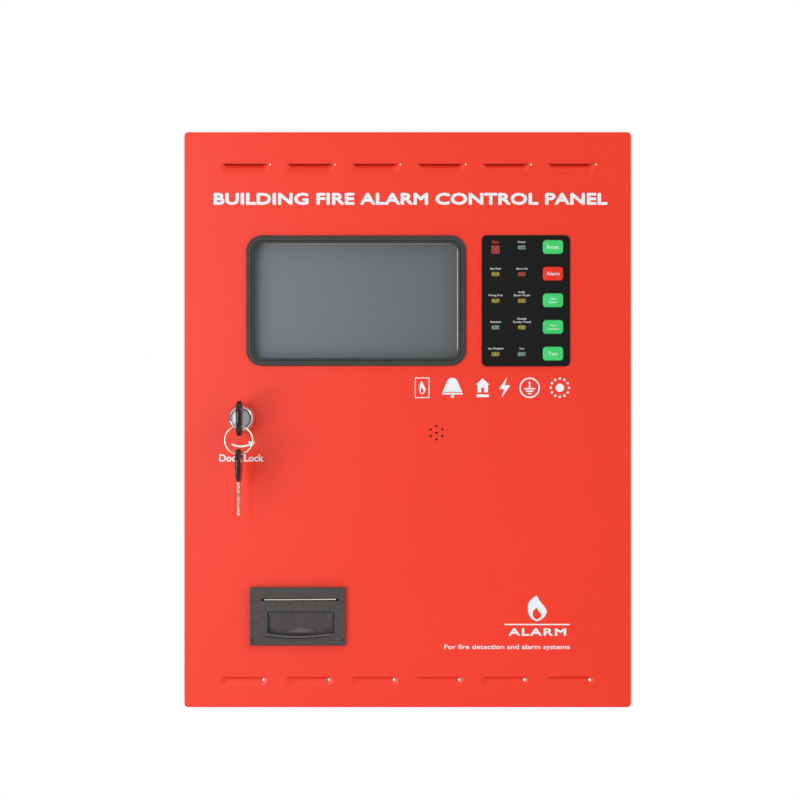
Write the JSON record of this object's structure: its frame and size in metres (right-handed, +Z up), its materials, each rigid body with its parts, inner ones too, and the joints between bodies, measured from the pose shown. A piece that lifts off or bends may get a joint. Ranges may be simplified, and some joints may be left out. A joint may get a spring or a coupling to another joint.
{
  "type": "fire alarm control panel",
  "caption": "Wall-mounted red steel fire alarm control panel with a hinged door, touch screen, keypad with indicators, panel printer, cam lock with keys and backup batteries.",
  "frame": {"origin": "centre of the back face of the box, on the wall", "axes": "+X to the right as seen from the front, +Y into the wall, +Z up; the door faces -Y"},
  "size_m": [0.4, 0.1889, 0.515],
  "materials": {
    "red_powder_coat": "satin fine-textured red polyester powder coat on sheet steel",
    "zinc_plate": "bright zinc plated steel",
    "galvanised_sheet": "galvanised sheet steel",
    "aluminium_case": "pressed aluminium case",
    "brass_stud": "turned brass",
    "chrome": "polished chrome plate on die-cast zinc",
    "nickel_silver": "nickel plated, lightly brushed",
    "black_rubber": "extruded EPDM rubber",
    "screen_glass": "matt anti-glare touch glass over a display that is off",
    "black_plastic": "moulded black plastic",
    "key_plastic": "glossy moulded black plastic",
    "charcoal_plastic": "spark-textured charcoal ABS",
    "overlay_film": "printed polyester film, satin black",
    "circuit_board": "green solder mask on glass-epoxy board",
    "green_terminal": "moulded green polyamide",
    "thermal_paper": "thermal paper",
    "battery_case": "grey moulded ABS",
    "green_button": "moulded green silicone-coated key",
    "red_button": "moulded red-orange key",
    "red_lens": "translucent red window",
    "yellow_lens": "translucent yellow window",
    "green_lens": "translucent green window"
  },
  "bodies": {
    "box": {"back_box": "red_powder_coat", "cable_grommet_1": "black_rubber", "cable_grommet_2": "black_rubber", "hinge_box_leaf_upper": "zinc_plate", "hinge_box_leaf_lower": "zinc_plate", "hinge_pin_upper": "zinc_plate", "hinge_pin_lower": "zinc_plate", "chassis_plate": "galvanised_sheet", "main_board": "circuit_board", "loop_card": "circuit_board", "field_terminals": "green_terminal", "mains_terminals": "black_plastic", "mains_fuse_holder": "black_plastic", "earth_stud": "brass_stud", "power_supply": "aluminium_case", "battery_left": "battery_case", "battery_right": "battery_case", "battery_bracket": "galvanised_sheet"},
    "door": {"door_shell": "red_powder_coat", "hinge_door_leaf_upper": "zinc_plate", "hinge_door_leaf_lower": "zinc_plate", "window_gasket": "black_rubber", "touch_lens": "screen_glass", "display_module": "galvanised_sheet", "display_bracket": "galvanised_sheet", "keypad_overlay": "overlay_film", "keypad_board": "circuit_board", "sounder": "black_plastic", "lock_housing": "chrome", "lock_nut": "zinc_plate", "printer_housing": "charcoal_plastic", "paper_strip": "thermal_paper", "print_head": "black_plastic", "indicator_fire": "red_lens", "indicator_evacuate": "red_lens", "indicator_power": "green_lens", "indicator_test": "green_lens", "indicator_supervisor": "green_lens", "indicator_general_fault": "yellow_lens", "indicator_system_fault": "yellow_lens", "indicator_general_disable": "yellow_lens", "indicator_buzzer_silence": "yellow_lens", "indicator_sounder_silence": "yellow_lens"},
    "lock_plug_and_cam": {"lock_plug": "chrome", "lock_cam": "zinc_plate", "cam_screw": "zinc_plate"},
    "key_in_lock": {"key_bow_in_lock": "key_plastic", "key_blade_in_lock": "nickel_silver"},
    "ring": {"key_ring": "nickel_silver"},
    "spare_key": {"key_bow_spare": "key_plastic", "key_blade_spare": "nickel_silver"},
    "printer_lid": {"printer_lid": "charcoal_plastic"},
    "platen": {"platen_roller": "black_rubber"},
    "paper_roll": {"paper_roll": "thermal_paper"},
    "button_reset": {"button_reset": "green_button"},
    "button_evacuate": {"button_evacuate": "red_button"},
    "button_buzzer_silence": {"button_buzzer_silence": "green_button"},
    "button_sounder_silence": {"button_sounder_silence": "green_button"},
    "button_test": {"button_test": "green_button"}
  },
  "joints": [
    {"name": "door_swing", "type": "hinge", "parent": "box", "child": "door", "pos_m": [0.1968, -0.116, 0], "axis": [0, 0, 1], "range_deg": [0, 120]},
    {"name": "lock_turn", "type": "hinge", "parent": "door", "child": "lock_plug_and_cam", "pos_m": [-0.1489, -0.148, 0.0012], "axis": [0, -1, 0], "range_deg": [-90, 0]},
    {"name": "key_withdraw", "type": "slide", "parent": "lock_plug_and_cam", "child": "key_in_lock", "axis": [0, -1, 0], "range_m": [0, 0.03]},
    {"name": "key_ring_tilt", "type": "hinge", "parent": "key_in_lock", "child": "ring", "pos_m": [-0.1489, -0.1729, -0.00545], "axis": [1, 0, 0], "range_deg": [-35, 10]},
    {"name": "spare_key_swing", "type": "hinge", "parent": "ring", "child": "spare_key", "pos_m": [-0.1489, -0.1729, -0.0177], "axis": [0, -1, 0], "range_deg": [0, 90]},
    {"name": "printer_lid_open", "type": "hinge", "parent": "door", "child": "printer_lid", "pos_m": [-0.0987, -0.1431, -0.2005], "axis": [1, 0, 0], "range_deg": [0, 60]},
    {"name": "platen_spin", "type": "hinge", "parent": "printer_lid", "child": "platen", "pos_m": [-0.09615, -0.1335, -0.1677], "axis": [1, 0, 0], "continuous": true},
    {"name": "paper_roll_spin", "type": "hinge", "parent": "door", "child": "paper_roll", "pos_m": [-0.09615, -0.113, -0.18], "axis": [1, 0, 0], "continuous": true},
    {"name": "press_reset", "type": "slide", "parent": "door", "child": "button_reset", "axis": [0, 1, 0], "range_m": [0, 0.001], "stiffness_N_per_m": 400, "springref_m": -0.001},
    {"name": "press_evacuate", "type": "slide", "parent": "door", "child": "button_evacuate", "axis": [0, 1, 0], "range_m": [0, 0.001], "stiffness_N_per_m": 400, "springref_m": -0.001},
    {"name": "press_buzzer_silence", "type": "slide", "parent": "door", "child": "button_buzzer_silence", "axis": [0, 1, 0], "range_m": [0, 0.001], "stiffness_N_per_m": 400, "springref_m": -0.001},
    {"name": "press_sounder_silence", "type": "slide", "parent": "door", "child": "button_sounder_silence", "axis": [0, 1, 0], "range_m": [0, 0.001], "stiffness_N_per_m": 400, "springref_m": -0.001},
    {"name": "press_test", "type": "slide", "parent": "door", "child": "button_test", "axis": [0, 1, 0], "range_m": [0, 0.001], "stiffness_N_per_m": 400, "springref_m": -0.001}
  ],
  "couplings": [
    {"joint": "spare_key_swing", "follows": "lock_turn", "ratio": -1}
  ]
}
